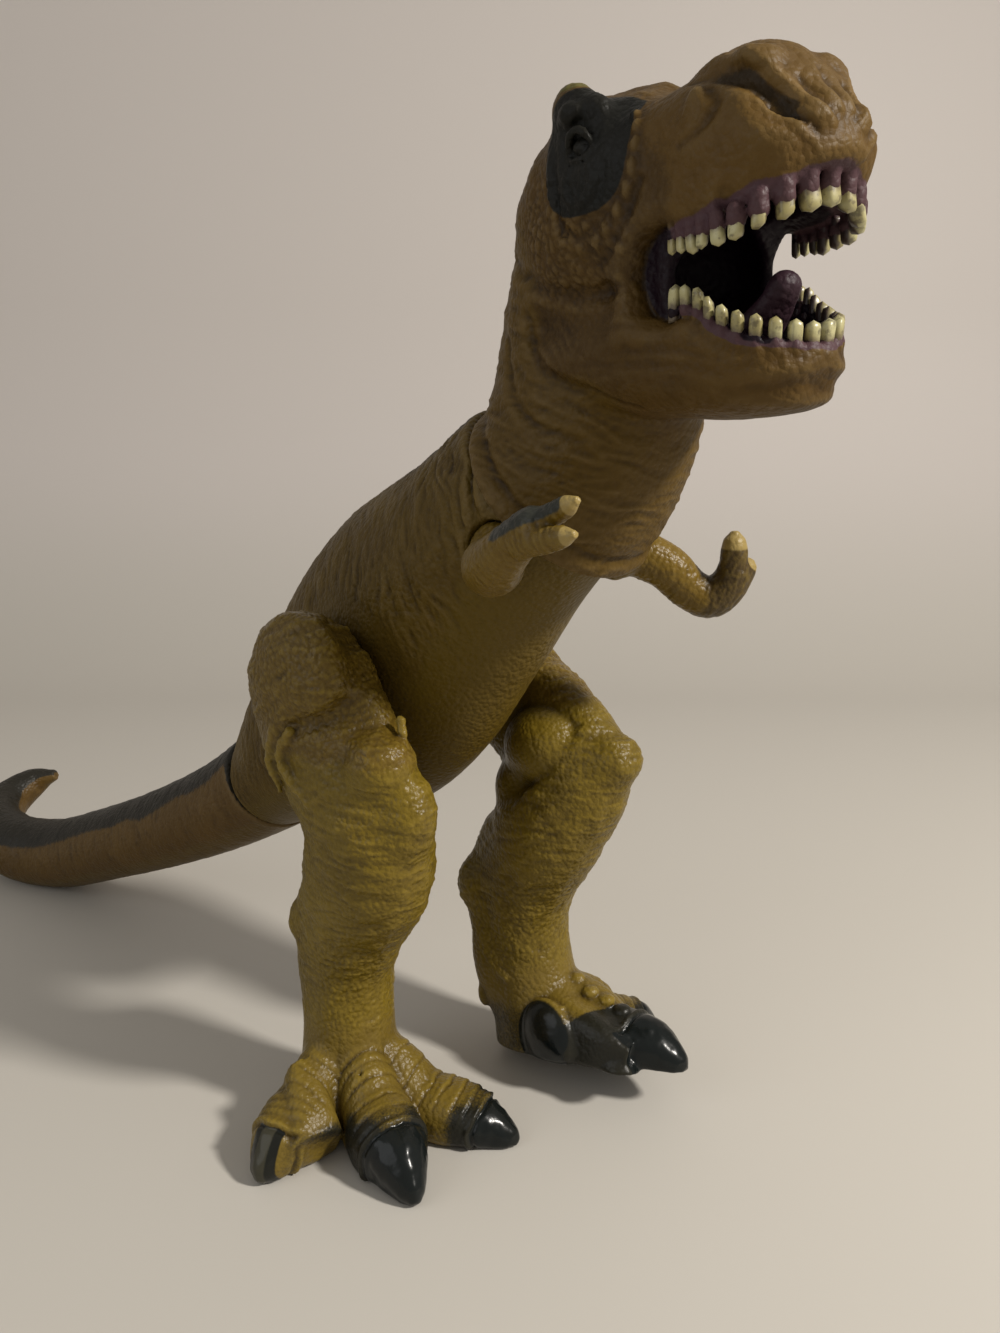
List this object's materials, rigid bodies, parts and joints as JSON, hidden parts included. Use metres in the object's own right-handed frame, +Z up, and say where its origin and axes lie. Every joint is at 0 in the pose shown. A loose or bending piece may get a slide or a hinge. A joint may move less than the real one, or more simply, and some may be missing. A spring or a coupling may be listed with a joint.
{
  "type": "toy dinosaur figure",
  "caption": "Large hollow vinyl toy tyrannosaur, standing on its hind feet and tail with its jaws open; neck, tail, hips and shoulders swivel.",
  "frame": {"origin": "on the floor, at the centre of the right sole", "axes": "+X towards the snout, +Y to the animal's left, +Z up"},
  "size_m": [0.5101, 0.1598, 0.3199],
  "materials": {
    "body_vinyl": "soft vinyl, tan brown with a darker airbrushed back",
    "head_vinyl": "soft vinyl, tan brown with painted gums, teeth and eye patches",
    "leg_vinyl": "soft vinyl, glossy mustard yellow with slate claws",
    "arm_vinyl": "soft vinyl, tan with darker hands",
    "spool_plastic": "hard black plastic, hidden inside"
  },
  "bodies": {
    "torso": {"torso_shell": "body_vinyl", "neck_spool": "spool_plastic", "tail_spool": "spool_plastic", "right_hip_spool": "spool_plastic", "left_hip_spool": "spool_plastic", "right_shoulder_spool": "spool_plastic", "left_shoulder_spool": "spool_plastic"},
    "head": {"head_and_neck": "head_vinyl"},
    "tail": {"tail": "body_vinyl"},
    "right_leg": {"right_leg": "leg_vinyl"},
    "left_leg": {"left_leg": "leg_vinyl"},
    "right_arm": {"right_arm": "arm_vinyl"},
    "left_arm": {"left_arm": "arm_vinyl"}
  },
  "joints": [
    {"name": "neck_swivel", "type": "hinge", "parent": "torso", "child": "head", "pos_m": [0.054, 0.036, 0.219], "axis": [0.7373, 0, 0.6756], "range_deg": [-60, 60]},
    {"name": "tail_swivel", "type": "hinge", "parent": "torso", "child": "tail", "pos_m": [-0.118, 0.036, 0.091], "axis": [-0.809, 0, -0.5878], "range_deg": [-45, 45]},
    {"name": "right_hip_swivel", "type": "hinge", "parent": "torso", "child": "right_leg", "pos_m": [-0.017, 0.006, 0.152], "axis": [0, 1, 0], "range_deg": [-35, 30]},
    {"name": "left_hip_swivel", "type": "hinge", "parent": "torso", "child": "left_leg", "pos_m": [-0.017, 0.066, 0.152], "axis": [0, 1, 0], "range_deg": [-30, 35]},
    {"name": "right_shoulder_swivel", "type": "hinge", "parent": "torso", "child": "right_arm", "pos_m": [0.054, 0.014, 0.203], "axis": [0, 1, 0], "range_deg": [-25, 75]},
    {"name": "left_shoulder_swivel", "type": "hinge", "parent": "torso", "child": "left_arm", "pos_m": [0.054, 0.058, 0.203], "axis": [0, 1, 0], "range_deg": [-30, 75]}
  ]
}
